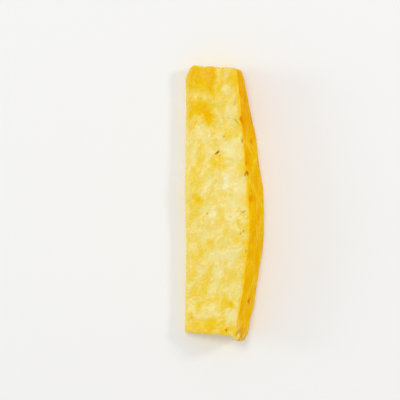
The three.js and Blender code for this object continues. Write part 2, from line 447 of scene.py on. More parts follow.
def core_relief(arc, along):
    """Ribs along the core side."""
    height, round_way, long_way = CORE_RIB
    return height * np.sin(TURN * (arc / round_way + along / long_way))


print("a segment is", SEGMENT_PITCH / MM, "mm long and climbs", SEGMENT_RISE, "mm for each mm outwards")

# %% [markdown]
# ## The fine relief of each face
# On top of the broad relief comes what only shows up close. The cut face has lumps of pulp, and fibres
# that run outwards and climb with the segments. The peeled side has the flat strokes of the knife and
# the cut ends of strings, the core side tough strings along the fruit. A displacement map could carry
# all of it. With so many points in the mesh, noise that is stretched one way gives the same without a
# picture.

# %% Fine relief
CUT_FIBRE = (0.11 * MM, 7 * MM, 0.95 * MM)  # height, length, width
CUT_LUMPS = ((4.4 * MM, 0.12 * MM, 5), (1.3 * MM, 0.03 * MM, 8))  # grain, height, seed
PEEL_STROKE = (0.35 * MM, 7.5 * MM)  # height, width
STROKE_WANDER = (1.5 * MM, 30 * MM, 9 * MM)  # how far, and over which way along and round
PEEL_STRING = (0.09 * MM, 7 * MM, 1.0 * MM)
PEEL_LUMP = (2.6 * MM, 0.2 * MM, 9)
CORE_STRING = (0.16 * MM, 12 * MM, 1.1 * MM)
END_FIBRE = (0.2 * MM, 6 * MM, 1.6 * MM)


def pulp(x, y, z, grain, height, seed):
    """Lumpy flesh, with lumps of a grain's size."""
    return height * rough_noise(x / grain, y / grain, z / grain, seed)


def fine_cut_relief(from_axis, along, arc):
    """Fibres that run outwards and climb a little, over soft lumps of pulp."""
    height, length, width = CUT_FIBRE
    lean = climbed(from_axis, along)
    fibres = height * soft_noise(from_axis / length, lean / width, arc / width, 4)
    return fibres + sum(pulp(from_axis, along, arc, *lump) for lump in CUT_LUMPS)


def strings(across, along, form, seed):
    """Tough strings that run along, side by side across."""
    height, length, width = form
    return height * rough_noise(across / width, along / length, 0 * across, seed)


def fine_peel_relief(arc, along):
    """The flat strokes of the peeling knife, and the cut fibres' ends."""
    height, width = PEEL_STROKE
    far, long_way, round_way = STROKE_WANDER
    stroke = arc + far * soft_noise(along / long_way, arc / round_way, 0.0, 6)
    strokes = height * (lobes(stroke, width) - LOBE_MIDDLE)
    return strokes + strings(arc, along, PEEL_STRING, 21) + pulp(arc, along, 0 * arc, *PEEL_LUMP)


fibres_a_mm = round(MM / CUT_FIBRE[2], 1)
stroke_width = round(PEEL_STROKE[1] / MM, 1)
print("about", fibres_a_mm, "fibres a mm on the cut face, and strokes", stroke_width, "mm wide")

# %% [markdown]
# ## From a block to a spear
# A wedge of a ring is a block that was bent round an axis. So we divide a block finely, round its edges,
# add each face's relief, let the ends reach out, and bend it all. Growing the form by subdivision or
# sculpting would also do, but this keeps every point's place on the fruit known, and the masks for the
# colours need just that.

# %% A finely divided block
CUTS = (80, 286, 60)  # outwards, along and up
EDGE_CROWDING = 0.55


def block_grid(cuts):
    """The surface of a divided block: its points as shares from -1 to 1, and its quads."""
    points = []
    quads = []
    count = 0
    for axis in range(3):
        first, second = (axis + 1) % 3, (axis + 2) % 3
        steps = np.meshgrid(np.arange(cuts[first] + 1), np.arange(cuts[second] + 1), indexing="ij")
        for side in (0, cuts[axis]):
            face = np.full(steps[0].shape + (3,), side)
            face[..., first] = steps[0]
            face[..., second] = steps[1]
            index = count + np.arange(steps[0].size).reshape(steps[0].shape)
            ring = [index[:-1, :-1], index[1:, :-1], index[1:, 1:], index[:-1, 1:]]
            if side == 0:
                ring.reverse()
            points.append(face.reshape(-1, 3))
            quads.append(np.stack(ring, axis=-1).reshape(-1, 4))
            count += steps[0].size
    steps, same = np.unique(np.concatenate(points), axis=0, return_inverse=True)
    return 2 * steps / np.array(cuts) - 1, same.ravel()[np.concatenate(quads)]


def crowd(share):
    """Moves evenly spaced cuts closer together towards both edges."""
    quarter = math.pi / 2 * EDGE_CROWDING
    return np.sin(share * quarter) / math.sin(quarter)


grid, quads = block_grid(CUTS)
grid = crowd(grid)
print(len(grid), "points and", len(quads), "quads")

# %% Lay the block out at full size, with round edges
EDGE_ROUND = 0.9 * MM
EDGE_RAGGED = 0.35
EDGE_GRAIN = 5 * MM

out, along, up = grid.T
outer = peeled_radius(along, up)
middle = (outer + CORE_RADIUS) / 2
half_out = (outer - CORE_RADIUS) / 2
half_up = (middle + out * half_out) * WEDGE_ANGLE / 2
half = np.stack([half_out, np.full_like(out, LENGTH / 2), half_up])
square = grid.T * half
edge = EDGE_ROUND * (1 + EDGE_RAGGED * soft_noise(3 * out, square[1] / EDGE_GRAIN, 3 * up, 12))
kept = np.clip(square, -(half - edge), half - edge)
facing = square - kept
facing = facing / np.linalg.norm(facing, axis=0)
rounded = kept + facing * edge
print("edges are rounded by", round(edge.min() / MM, 2), "to", round(edge.max() / MM, 2), "mm")

# %% Where each point is on the fruit, and which way it faces
NEAR_TOP = 2.5 * MM
NEAR_PEEL = 3 * MM

radius = middle + rounded[0]
arc = rounded[2] + half_up
length_at = rounded[1]
to_cut, to_peel = np.maximum(0, facing[2]), np.maximum(0, facing[0])
to_floor, to_core = np.maximum(0, -facing[2]), np.maximum(0, -facing[0])
to_end = np.abs(facing[1])
near_top = np.clip(1 - (half_up - rounded[2]) / NEAR_TOP, 0, 1)
near_peel = np.clip(1 - (half_out - rounded[0]) / NEAR_PEEL, 0, 1)
print("of the points", int((to_cut > 0.99).sum()), "lie in the upper cut face")

# %% Masks of the holes, eyes and specks
EYE_WANDER = 0.7 * MM
EYE_GRAIN = 1.6 * MM
EYE_SHALLOW = 0.7  # the share of an eye's depth that shows in this finer form

eye_wander = EYE_WANDER * soft_noise(arc / EYE_GRAIN, length_at / EYE_GRAIN, 0.0, 40)
hole_masks = [in_hole(radius, length_at, hole, seed) for seed, hole in enumerate(HOLES)]
eye_masks = [in_hole(arc + eye_wander, length_at - eye_wander, eye, seed) for seed, eye in enumerate(EYES)]
speck_masks = [in_hole(arc, length_at, speck, 50 + seed) for seed, speck in enumerate(SPECKS)]
hole_sink = sum(mask * hole[4] * MM for mask, hole in zip(hole_masks, HOLES)) * near_top
eye_sink = sum(mask * EYE_SHALLOW * eye[4] * MM for mask, eye in zip(eye_masks, EYES)) * near_peel
deepest = [round(float(sink.max()) / MM, 1) for sink in (hole_sink, eye_sink)]
print("the deepest hole and eye are", deepest, "mm deep")

# %% [markdown]
# ## Seams and eye rings
# On the peeled side each small fruit is set off from the next by a thin pale seam, a little sunken, and a
# ring is left round each eye. A cell texture would draw seams too, but not in step with the eyes. A seam
# lies where the nearest and the second nearest middle are equally far away, so the middles give it.

# %% Seams between the small fruits
FRUIT_SQUASH = 0.8  # small fruits are a little longer than wide
SEAM_WIDTH = 1.1  # these four in mm
SEAM_WANDER = 1.2
EYE_RING_AT = 2.1
EYE_RING_WIDTH = 0.6
EYE_RING_SHARE = 0.7
SEAM_GRAIN = 4 * MM
SEAM_BREAKS = 7 * MM


def gaps_to(middles):
    """How far each point is from each of some middles on the peeled side, in mm."""
    return [np.hypot(arc / MM - at[0], (length_at / MM - at[1]) * FRUIT_SQUASH) for at in middles]


fruit_gaps = np.sort(gaps_to(FRUIT_MIDDLES), axis=0)
seam_wander = SEAM_WANDER * soft_noise(arc / SEAM_GRAIN, length_at / SEAM_GRAIN, 0.0, 33)
seam = dent(fruit_gaps[1] - fruit_gaps[0] + seam_wander, SEAM_WIDTH)
seam = seam * step_up(soft_noise(arc / SEAM_BREAKS, length_at / SEAM_BREAKS, 0.0, 34), -0.7, 0.1)
eye_gap = np.min(gaps_to(EYES), axis=0)
eye_ring = dent(eye_gap - EYE_RING_AT + 0.5 * seam_wander, EYE_RING_WIDTH)
eye_ring = eye_ring * step_up(seam_wander, -0.6, 0.5)
seam = np.maximum(seam, EYE_RING_SHARE * eye_ring) * near_peel
print("seams cover", round(100 * float((seam > 0.5).sum() / (to_peel > 0.9).sum())), "percent of the peel")

# %% [markdown]
# ## The torn lip
# At the stem end the flesh tore instead of being cut, so the lip shows ridges, pale on top, with grooves
# between them, which lean along the tear. The grooves' darker colour is painted shade. Strands of a hair
# system could stand for them, but the ridges are part of the flesh. So they are noise, stretched along the
# tear, inside a mask with a ragged rim.

# %% Ridges of the lip
LIP_WIDE = 5.5 * MM
LIP_LONG = 4.5 * MM
LIP_TOP = (35 * MM, 38 * MM)  # from the axis: no lip below the first, all of it above the second
LIP_SLANT = 0.5
LIP_RIM = (0.3, 1.2 * MM, 3 * MM)  # how ragged, and its grain round and along
LIP_RIDGE = 0.45 * MM
RIDGE_SIZE = (0.9 * MM, 5 * MM, 2 * MM)  # across, along and out

from_lip = np.hypot((LIP_UP - up) * half_up / LIP_WIDE, (length_at + LENGTH / 2) / LIP_LONG)
from_lip = from_lip + LIP_RIM[0] * soft_noise(arc / LIP_RIM[1], length_at / LIP_RIM[2], 0.0, 35)
lip_mask = dent(from_lip, 1.0) * step_up(radius, *LIP_TOP)
lip_places = (arc + LIP_SLANT * length_at, length_at, radius)
lip_ridge = soft_noise(*[place / size for place, size in zip(lip_places, RIDGE_SIZE)], 36)
print("the lip takes", int((lip_mask > 0.5).sum()), "points")

# %% [markdown]
# ## Press the relief in, and bend
# Each relief belongs to one face, so it is weighed by how squarely a point faces that way, and on the
# rounded edges two of them meet softly. Sculpting would press the same forms in by hand. Then the ends
# reach out, and the block bends round the fruit's axis until it fits the solid.

# %% Add the relief
SEAM_DEPTH = 0.28 * MM
UNDERSIDE = 1.5  # the hidden cut face has the same fibres, pressed in by the fruit's own weight

fine_cut = fine_cut_relief(radius, length_at, arc)
cut_side = cut_relief(radius, length_at) + fine_cut
peeled_side = peel_relief(arc, length_at) + fine_peel_relief(arc, length_at) - SEAM_DEPTH * seam
core_side = core_relief(arc, length_at) + strings(arc, length_at, CORE_STRING, 7)
relief = to_cut**2 * cut_side
relief = relief + to_peel**2 * peeled_side
relief = relief + lip_mask * LIP_RIDGE * lip_ridge
relief = relief + to_core**2 * core_side
relief = relief + to_end**2 * strings(arc, radius, END_FIBRE, 10)
relief = relief + to_floor**2 * np.minimum(0, UNDERSIDE * fine_cut)
bent_in = rounded + facing * relief
bent_in[2] -= hole_sink
bent_in[0] -= eye_sink
print("relief from", round(relief.min() / MM, 2), "to", round(relief.max() / MM, 2), "mm")

# %% Let the ends reach out, bend, and fit the frame
END_PULL = 6  # a high power: only the last stretch moves with the end cuts

reach = np.where(along > 0, crown_reach(radius, up), -stem_reach(radius, up))
bent_y = bent_in[1] + np.abs(along) ** END_PULL * reach
bent_radius = middle + bent_in[0]
bent_angle = np.clip(WEDGE_ANGLE / 2 + bent_in[2] / (half_up * 2 / WEDGE_ANGLE), 0, math.pi)
points = np.stack([bent_radius * np.cos(bent_angle), bent_y, bent_radius * np.sin(bent_angle)], axis=1)
low, high = points.min(axis=0), points.max(axis=0)
fit = (np.array(cad_high) - np.array(cad_low)) / (high - low)
points = np.array(cad_low) + (points - low) * fit
print("fitted to the solid by", fit.round(3))

# %% The flesh as a mesh
flesh_mesh = bpy.data.meshes.new("spear_flesh")
flesh_mesh.from_pydata(points.tolist(), [], quads.tolist())
flesh_mesh.polygons.foreach_set("use_smooth", np.ones(len(quads), bool))
flesh = bpy.data.objects.new("spear_flesh", flesh_mesh)
bpy.context.collection.objects.link(flesh)
print("the mesh is closed:", len(flesh_mesh.edges) == 2 * len(flesh_mesh.polygons))

# %% [markdown]
# ## Where the colours lie
# The cut face isn't one yellow. Near the crown end, and in a few spots, the flesh is glassy and golden,
# because juice fills the air between its cells there. Elsewhere it is cream. We name those places on the
# fruit, give them soft ragged rims, and store them with the points. A texture painted by hand could
# do it too, but then the lesson would need a picture.
# Two long golden strips along the core edge are painted shade, not juice.

# %% Named patches on the cut face
GOLDEN = [
    # from the axis, along the fruit, half width, half length in mm, and strength
    (26.0, 55.0, 4.4, 6.5, 1.4),
    (18.7, 55.5, 6.6, 7.5, 1.05),
    (14.5, 41.0, 3.8, 8.5, 1.0),
    (20.3, 41.5, 7.0, 4.2, 1.1),
    (24.0, 38.6, 4.2, 4.6, 1.2),
    (18.4, 1.1, 3.0, 3.2, 0.7),
    (36.9, -45.6, 2.8, 2.0, 0.85),
    (39.7, -10.2, 4.0, 2.2, 0.4),
    (26.1, -19.6, 2.8, 2.4, 0.45),
    (30.3, 14.6, 3.6, 5.0, 0.45),
    (28.0, -54.5, 4.0, 3.0, 0.4),
    (24.0, 29.4, 3.4, 2.4, 0.3),
    # painted shade: the next two are long golden strips along the core edge
    (13.0, 20.0, 1.6, 22.0, 0.3),
    (13.0, -30.0, 1.8, 30.0, 0.3),
    (18.0, 47.0, 5.0, 3.0, 0.35),
    (31.0, 49.0, 6.0, 2.4, 0.3),
]
CREAMY = [
    (33.4, 22.6, 4.0, 3.0, 0.7),
    (35.8, 9.3, 4.4, 8.0, 0.95),
    (33.9, 40.0, 5.5, 4.0, 0.4),
    (27.1, -6.3, 4.5, 4.0, 0.55),
    (35.0, -2.7, 4.0, 5.0, 0.65),
    (29.2, -27.1, 4.5, 6.0, 0.45),
    (36.0, -24.0, 3.5, 4.5, 0.5),
    (31.3, -38.6, 4.0, 3.2, 0.6),
    (36.5, -52.7, 2.4, 4.5, 0.6),
    (41.2, -4.0, 2.5, 2.5, 0.5),
]
PATCH_WANDER = 2.6 * MM
PATCH_GRAIN = 4 * MM


def patch_mask(patches, seed):
    """The strongest of some soft ragged patches at each point."""
    place = (radius / PATCH_GRAIN, length_at / PATCH_GRAIN, arc / PATCH_GRAIN)
    wander_out = PATCH_WANDER * rough_noise(*place, seed, 4)
    wander_along = PATCH_WANDER * rough_noise(*place, seed + 5, 4)
    mask = np.zeros(len(points))
    for from_axis, at, half_width, half_length, strength in patches:
        across = (radius + wander_out - from_axis * MM) / (half_width * MM)
        lengthwise = (length_at + wander_along - at * MM) / (half_length * MM)
        mask = np.maximum(mask, strength * np.exp(-(across**2) - lengthwise**2))
    return mask


def store(name, values):
    """Keeps one number for each point of the flesh."""
    flesh_mesh.attributes.new(name, "FLOAT", "POINT").data.foreach_set("value", values.astype(np.float32))
    print(name, "from", round(float(values.min()), 2), "to", round(float(values.max()), 2))


store("cream", patch_mask(CREAMY, 30))

# %% Golden places: patches, the crown end, the stem end and the rim
CROWN_TINT = (0.85, 0.45)  # on the core's side, on the peeled side
STEM_TINT = 0.48
RIM_TINT = 0.6
RIM_WIDTH = (1.4 * MM, 3.6 * MM)  # along most of the spear, at the crown end
# these four say from where to where the change goes, from the axis or from the middle of the fruit
CORE_TO_PEEL = (26 * MM, 31 * MM)
CROWN_END = (40 * MM, 54 * MM)
STEM_END = (46 * MM, 57 * MM)
RIM_WIDENS = (30 * MM, 50 * MM)

tint_level = between(*CROWN_TINT, step_up(radius, *CORE_TO_PEEL))
crown_tint = step_up(length_at, *CROWN_END) * tint_level
stem_tint = STEM_TINT * step_up(-length_at, *STEM_END)
rim_width = between(*RIM_WIDTH, step_up(length_at, *RIM_WIDENS))
rim_tint = RIM_TINT * dent(np.maximum(0, half_out - rounded[0]), rim_width)
store("gold", np.max([patch_mask(GOLDEN, 20), crown_tint, stem_tint, rim_tint], axis=0))

# %% Which face each colour belongs to
RAGGED_GRAIN = 1.4 * MM
PEEL_FACING = (0.7, 0.97)  # how squarely a point faces out where the peel's colour starts, and is full
CORE_FACING = (0.2, 0.95)
END_FACING = (0.4, 0.9)
CORE_SHADE = 0.45  # how much of the core's paleness its rim on the cut face has
CORE_RIM = 15.5 * MM  # how far out that rim reaches, how ragged, and how soft
CORE_RIM_RAGGED = 0.9 * MM
CORE_RIM_SOFT = 3 * MM

ragged_noise = soft_noise(radius / RAGGED_GRAIN, length_at / RAGGED_GRAIN, arc / RAGGED_GRAIN, 15)
ragged_edge = 0.1 * ragged_noise
near_core = CORE_SHADE * step_up(CORE_RIM - radius + CORE_RIM_RAGGED * ragged_noise, 0, CORE_RIM_SOFT)
store("peel", step_up(to_peel + ragged_edge, *PEEL_FACING))
store("core", np.maximum(near_core * to_cut, step_up(to_core + 2 * ragged_edge, *CORE_FACING)))
store("end", step_up(to_end + ragged_edge, *END_FACING))

# %% Brown, pale and amber marks
GLASSY_MIDDLE = (0.34, 1.2, 2.0)  # strength, radius that is full, and fading out, in mm
CROWN_AMBER = 0.62
AMBER_STARTS = (22 * MM, 38 * MM)

browned = sum(mask * hole[6] for mask, hole in zip(hole_masks, HOLES)) * near_top
specked = sum(mask * speck[6] for mask, speck in zip(speck_masks, SPECKS)) * step_up(to_peel, 0.3, 0.8)
store("hole", np.clip(browned + specked, 0, 1))
store("eye", np.clip(sum(mask**2 * eye[6] for mask, eye in zip(eye_masks, EYES)) * near_peel, 0, 1))
store("lip", lip_mask)
# the lip's colour follows its ridges: pale on their tops, and painted shade in the grooves
store("ridge", step_up(lip_ridge, -0.25, 0.3))
store("seam", seam)
strength, full, fading = GLASSY_MIDDLE
glassy_middle = strength * dent(np.maximum(0, fruit_gaps[0] + seam_wander - full), fading)
crown_amber = CROWN_AMBER * step_up(length_at, *AMBER_STARTS)
store("amber", np.clip(glassy_middle + crown_amber, 0, 1))

# %% [markdown]
# ## Directions for the fibres
# On the cut face fibres run outwards and climb. On the peeled and core sides they run along the fruit. A
# picture wrapped round the fruit would need seams and unwrapping. Instead each point keeps its place on
# the fruit twice, once measured each way, and the textures below are stretched along the first direction.

# %% Places measured along the fibres
def store_place(name, directions):
    """Keeps a place for each point of the flesh. Fibres run along the first of its three directions."""
    place = np.stack(directions, axis=1).astype(np.float32)
    flesh_mesh.attributes.new(name, "FLOAT_VECTOR", "POINT").data.foreach_set("vector", place.ravel())
    print(name, "spans", (np.ptp(place, axis=0) / MM).round(1), "mm")


store_place("grain", [radius, climbed(radius, length_at), arc])
store_place("strings", [length_at, arc, radius])

# %% [markdown]
# ## Tools for the finishes
# A finish is a graph of nodes. A few small helpers keep each graph short: one adds a node and fills its
# inputs, one blends two colours, one turns a stretch of values into a mask, and one starts a node group.

# %% Helpers for nodes
BYTE = 255
DARK_END, DARK_SLOPE = 0.04045, 12.92  # the straight foot of the curve that pictures use
CURVE_SHIFT, CURVE_POWER = 0.055, 2.4  # and the rest of it


def to_linear(share):
    """One level of a picture, from 0 to 1, as linear light."""
    if share <= DARK_END:
        return share / DARK_SLOPE
    return ((share + CURVE_SHIFT) / (1 + CURVE_SHIFT)) ** CURVE_POWER


def srgb(red, green, blue):
    """A colour as a picture gives it, from 0 to 255, in the linear light that shaders use."""
    return (*[to_linear(level / BYTE) for level in (red, green, blue)], 1)


def add_node(tree, kind, inputs, **options):
    """Adds a node, sets its options, and fills its inputs with values or with other nodes' outputs."""
    made = tree.nodes.new(kind)
    for name, value in options.items():
        setattr(made, name, value)
    for name, value in inputs.items():
        if isinstance(value, bpy.types.NodeSocket):
            tree.links.new(value, made.inputs[name])
        else:
            made.inputs[name].default_value = value
    return made


def blend(tree, share, first, second):
    """Blends two colours."""
    inputs = {0: share, 6: first, 7: second}  # a mix node's colours are its inputs 6 and 7
    return add_node(tree, "ShaderNodeMix", inputs, data_type="RGBA").outputs[2]


print("a pale cream in linear light:", [round(level, 2) for level in srgb(250, 229, 160)])

# %% Helpers for masks
def band(tree, value, start, end, low=0.0, high=1.0):
    """Turns a stretch of values into a soft mask."""
    inputs = {"Value": value, "From Min": start, "From Max": end, "To Min": low, "To Max": high}
    return add_node(tree, "ShaderNodeMapRange", inputs, interpolation_type="SMOOTHSTEP").outputs[0]


def sums(tree, operation, first, second):
    """One step of arithmetic on two numbers."""
    return add_node(tree, "ShaderNodeMath", {0: first, 1: second}, operation=operation).outputs[0]


def weighed(tree, *parts):
    """Adds up values, each times its weight."""
    total = 0.0
    for value, weight in parts:
        inputs = {0: value, 1: weight, 2: total}
        total = add_node(tree, "ShaderNodeMath", inputs, operation="MULTIPLY_ADD").outputs[0]
    return total


def tinted(tree, color, mask, weight, tint):
    """A colour that is drawn to a tint where a mask says so, by a weight at most."""
    return blend(tree, sums(tree, "MULTIPLY", mask, weight), color, tint)


print("helpers for masks:", ", ".join(helper.__name__ for helper in (band, sums, weighed, tinted)))

# %% Helpers for textures and groups
def noise(tree, place, detail, roughness, distortion=0.0):
    """Blender's own soft noise, about one hill to each unit of the place."""
    inputs = {"Vector": place, "Scale": 1.0, "Detail": detail, "Roughness": roughness}
    inputs["Distortion"] = distortion
    return add_node(tree, "ShaderNodeTexNoise", inputs).outputs["Fac"]


def place_over(tree, place, size):
    """A place measured in steps of a size."""
    return add_node(tree, "ShaderNodeVectorMath", {0: place, 1: size}, operation="DIVIDE").outputs[0]


def new_group(name, inputs, outputs):
    """An empty node group with named sockets. Numbers start at what the inputs say."""
    tree = bpy.data.node_groups.new(name, "ShaderNodeTree")
    tree.interface.new_socket("Place", in_out="INPUT", socket_type="NodeSocketVector")
    for title, start in inputs.items():
        socket = tree.interface.new_socket(title, in_out="INPUT", socket_type="NodeSocketFloat")
        socket.default_value = start
    for title in outputs:
        tree.interface.new_socket(title, in_out="OUTPUT", socket_type="NodeSocketFloat")
    given = tree.nodes.new("NodeGroupInput")
    result = tree.nodes.new("NodeGroupOutput")
    print("group:", name, "with", ", ".join(outputs))
    return tree, given.outputs, result.inputs


# %% [markdown]
# ## Effects that the finishes share
# Mottle is the cloudy change from glassy to cloudy flesh, with flecks where cut cells hold air. Streaks are
# the fibres, long one way and thin the others. Cells are the juice sacs, a fine grain. The wet film says
# where juice stands: it makes the flesh smoother there. Each is a group, so that every finish can use it at
# its own size.

# %% Mottle and flecks
mottle_sizes = {"Patch Size": 8 * MM, "Fleck Size": 1.2 * MM}
mottle, given, result = new_group("fruit mottle", mottle_sizes, ["Patches", "Flecks"])
patch_noise = noise(mottle, place_over(mottle, given["Place"], given["Patch Size"]), 3.0, 0.54, 0.4)
fleck_noise = noise(mottle, place_over(mottle, given["Place"], given["Fleck Size"]), 2.0, 0.6)
mottle.links.new(band(mottle, patch_noise, 0.36, 0.64), result["Patches"])
mottle.links.new(band(mottle, fleck_noise, 0.56, 0.74), result["Flecks"])

# %% Fibre streaks
streak_sizes = {"Fibre Length": 7 * MM, "Fibre Width": 0.8 * MM}
streaks, given, result = new_group("fibre streaks", streak_sizes, ["Streaks", "Height"])
long_and_thin = {"X": given["Fibre Length"], "Y": given["Fibre Width"], "Z": given["Fibre Width"]}
stretch = add_node(streaks, "ShaderNodeCombineXYZ", long_and_thin).outputs[0]
fibre_noise = noise(streaks, place_over(streaks, given["Place"], stretch), 3.0, 0.55)
streaks.links.new(band(streaks, fibre_noise, 0.38, 0.66), result["Streaks"])
streaks.links.new(fibre_noise, result["Height"])

# %% Juice cells
cells, given, result = new_group("juice cells", {"Cell Size": 0.9 * MM}, ["Walls", "Height"])
cell_place = place_over(cells, given["Place"], given["Cell Size"])
sacs = add_node(cells, "ShaderNodeTexVoronoi", {"Vector": cell_place, "Scale": 1.0}, feature="F1")
from_middle = sacs.outputs["Distance"]
cells.links.new(band(cells, from_middle, 0.35, 0.8), result["Walls"])
cells.links.new(band(cells, from_middle, 0.0, 0.9, 1.0, 0.0), result["Height"])

# %% Wet film
film_values = {"Pool Size": 5 * MM, "Dry Roughness": 0.5, "Wet Roughness": 0.2}
film, given, result = new_group("wet film", film_values, ["Roughness", "Wetness"])
pool = noise(film, place_over(film, given["Place"], given["Pool Size"]), 3.0, 0.55)
wetness = band(film, pool, 0.4, 0.62)
wet_step = sums(film, "SUBTRACT", given["Wet Roughness"], given["Dry Roughness"])
film_roughness = sums(film, "ADD", given["Dry Roughness"], sums(film, "MULTIPLY", wetness, wet_step))
film.links.new(wetness, result["Wetness"])
film.links.new(film_roughness, result["Roughness"])

# %% [markdown]
# ## Finish of the flesh
# One material covers the whole spear, because it is one piece of fruit: cut face, peeled side, core side
# and ends only differ in colour and fibre. The stored masks blend them over the rounded edges, a little
# ragged. Separate materials for each face would leave a straight seam there.

# %% Places and masks for the flesh
flesh_finish = bpy.data.materials.new("pineapple_flesh")
flesh_finish.use_nodes = True
tree = flesh_finish.node_tree
shader = tree.nodes["Principled BSDF"]


def stored(name, kind="Fac"):
    """What was stored with the points under a name."""
    return add_node(tree, "ShaderNodeAttribute", {}, attribute_name=name).outputs[kind]


def placed(group, place, values):
    """A group in the flesh's own graph, with its own sizes."""
    return add_node(tree, "ShaderNodeGroup", {"Place": place, **values}, node_tree=group).outputs


grain_place = stored("grain", "Vector")
strings_place = stored("strings", "Vector")
broad_mottle = placed(mottle, grain_place, {"Patch Size": 7 * MM, "Fleck Size": 1.3 * MM})
small_mottle = placed(mottle, grain_place, {"Patch Size": 2.6 * MM, "Fleck Size": 0.7 * MM})
cut_streaks = placed(streaks, grain_place, {"Fibre Length": 9 * MM, "Fibre Width": 0.7 * MM})
long_streaks = placed(streaks, strings_place, {"Fibre Length": 14 * MM, "Fibre Width": 1.3 * MM})
core_strings = placed(streaks, strings_place, {"Fibre Length": 9 * MM, "Fibre Width": 0.45 * MM})
flesh_cells = placed(cells, grain_place, {"Cell Size": 0.8 * MM})
flesh_film = placed(film, grain_place, {"Pool Size": 4 * MM})
print("flesh reads", len([node for node in tree.nodes if node.type == "GROUP"]), "groups")

# %% [markdown]
# ## Colour of the cut faces
# Cream flesh is full of fine air, and yellow flesh less so, and where juice has filled it the flesh is
# glassy gold. One painted picture could hold all of it. Here clouds, fibres and flecks each add a little to
# a blend from yellow to cream, and the golden places go over it in two steps, juicy first and then glassy.

# %% Yellow, cream and gold
YELLOW = srgb(246, 212, 40)
CREAM = srgb(253, 240, 182)
PALE_FLECK = srgb(255, 248, 212)
CELL_WALL = srgb(240, 200, 34)
JUICY_YELLOW = srgb(246, 205, 16)
GLASSY_GOLD = srgb(245, 192, 0)

to_cream = weighed(
    tree,
    (stored("cream"), 0.55),
    (broad_mottle["Patches"], 0.48),
    (small_mottle["Patches"], 0.07),
    (cut_streaks["Streaks"], 0.09),
)
cut_color = blend(tree, to_cream, YELLOW, CREAM)
cut_color = tinted(tree, cut_color, flesh_cells["Walls"], 0.08, CELL_WALL)
cut_color = tinted(tree, cut_color, broad_mottle["Flecks"], 0.12, PALE_FLECK)
cut_color = tinted(tree, cut_color, small_mottle["Flecks"], 0.05, PALE_FLECK)
to_gold = weighed(
    tree,
    (stored("gold"), 1.0),
    (long_streaks["Height"], 0.4),
    (broad_mottle["Patches"], -0.2),
    (cut_streaks["Height"], 0.3),
)
cut_color = blend(tree, band(tree, to_gold, 0.3, 1.0), cut_color, JUICY_YELLOW)
cut_color = blend(tree, band(tree, to_gold, 0.8, 1.4), cut_color, GLASSY_GOLD)
print("cut face:", len(tree.nodes), "nodes so far")

# %% [markdown]
# ## Colour of the peeled side
# The knife took off the rind and bared juicy flesh: deep gold with lighter strings, glassy amber in
# the middle of each small fruit and towards the crown end, paler seams, and eyes with brown cores. The
# deep gold is partly painted light: it also holds the golden glow that yellow flesh close by throws on
# this side. Its lip is torn, so it is pale on its ridges, with painted shade in the grooves between
# them. The stored masks put each of these over the gold in turn.

# %% Gold, amber, seams, eyes and lip
# these golds are partly the bared flesh's own colour and partly painted light: the glow of yellow flesh close
# by
PEEL_GOLD = srgb(245, 178, 0)
PEEL_LIGHT = srgb(252, 206, 4)
PEEL_DEEP = srgb(236, 162, 0)
PEEL_AMBER = srgb(239, 162, 0)
PEEL_EYE = srgb(216, 124, 8)
EYE_BROWN = srgb(160, 92, 14)
PEEL_SEAM = srgb(255, 212, 60)
LIP_PALE = srgb(248, 218, 128)
# painted shade for the grooves between the lip's ridges
LIP_GROOVE_SHADE = srgb(206, 150, 30)

to_light = weighed(tree, (long_streaks["Streaks"], 0.32), (broad_mottle["Patches"], 0.55))
peel_color = blend(tree, to_light, PEEL_GOLD, PEEL_LIGHT)
peel_color = blend(tree, stored("amber"), peel_color, PEEL_AMBER)
peel_color = tinted(tree, peel_color, flesh_cells["Walls"], 0.15, PEEL_DEEP)
peel_color = tinted(tree, peel_color, small_mottle["Patches"], 0.2, PEEL_DEEP)
peel_color = tinted(tree, peel_color, core_strings["Streaks"], 0.2, PEEL_DEEP)
peel_color = tinted(tree, peel_color, stored("seam"), long_streaks["Streaks"], PEEL_SEAM)
peel_color = tinted(tree, peel_color, stored("eye"), 0.7, PEEL_EYE)
peel_color = blend(tree, band(tree, stored("eye"), 0.45, 0.9, 0.0, 0.7), peel_color, EYE_BROWN)
# painted shade: the lip is darker in its grooves and pale on the tops of its ridges
lip_color_with_groove_shade = blend(tree, stored("ridge"), LIP_GROOVE_SHADE, LIP_PALE)
peel_color = blend(tree, stored("lip"), peel_color, lip_color_with_groove_shade)
print("with the peeled side:", len(tree.nodes), "nodes so far")

# %% [markdown]
# ## Colour of the core side and the ends
# The core is tougher and paler than the rest, with fine strings along the fruit and small pits. The ends
# show fibres that were cut across, so they are a plainer yellow. From afar the cut face's colours would
# do for both. Two shades of their own keep them apart close up.

# %% Pale core and yellow ends
CORE_PALE = srgb(251, 233, 152)
CORE_DEEP = srgb(247, 216, 100)
CORE_PIT = srgb(236, 194, 86)
END_YELLOW = srgb(243, 204, 44)

to_deep = weighed(tree, (core_strings["Streaks"], 0.3), (broad_mottle["Patches"], 0.6))
core_color = blend(tree, to_deep, CORE_PALE, CORE_DEEP)
core_color = tinted(tree, core_color, small_mottle["Flecks"], 0.25, CORE_PIT)
end_pale = weighed(tree, (cut_streaks["Streaks"], 0.25), (broad_mottle["Patches"], 0.35))
end_color = blend(tree, end_pale, END_YELLOW, CREAM)
end_color = tinted(tree, end_color, flesh_cells["Walls"], 0.3, CELL_WALL)
print("with core side and ends:", len(tree.nodes), "nodes so far")

# %% Put the colours together
HOLE_RIM = srgb(224, 166, 22)
HOLE_BROWN = srgb(178, 110, 8)

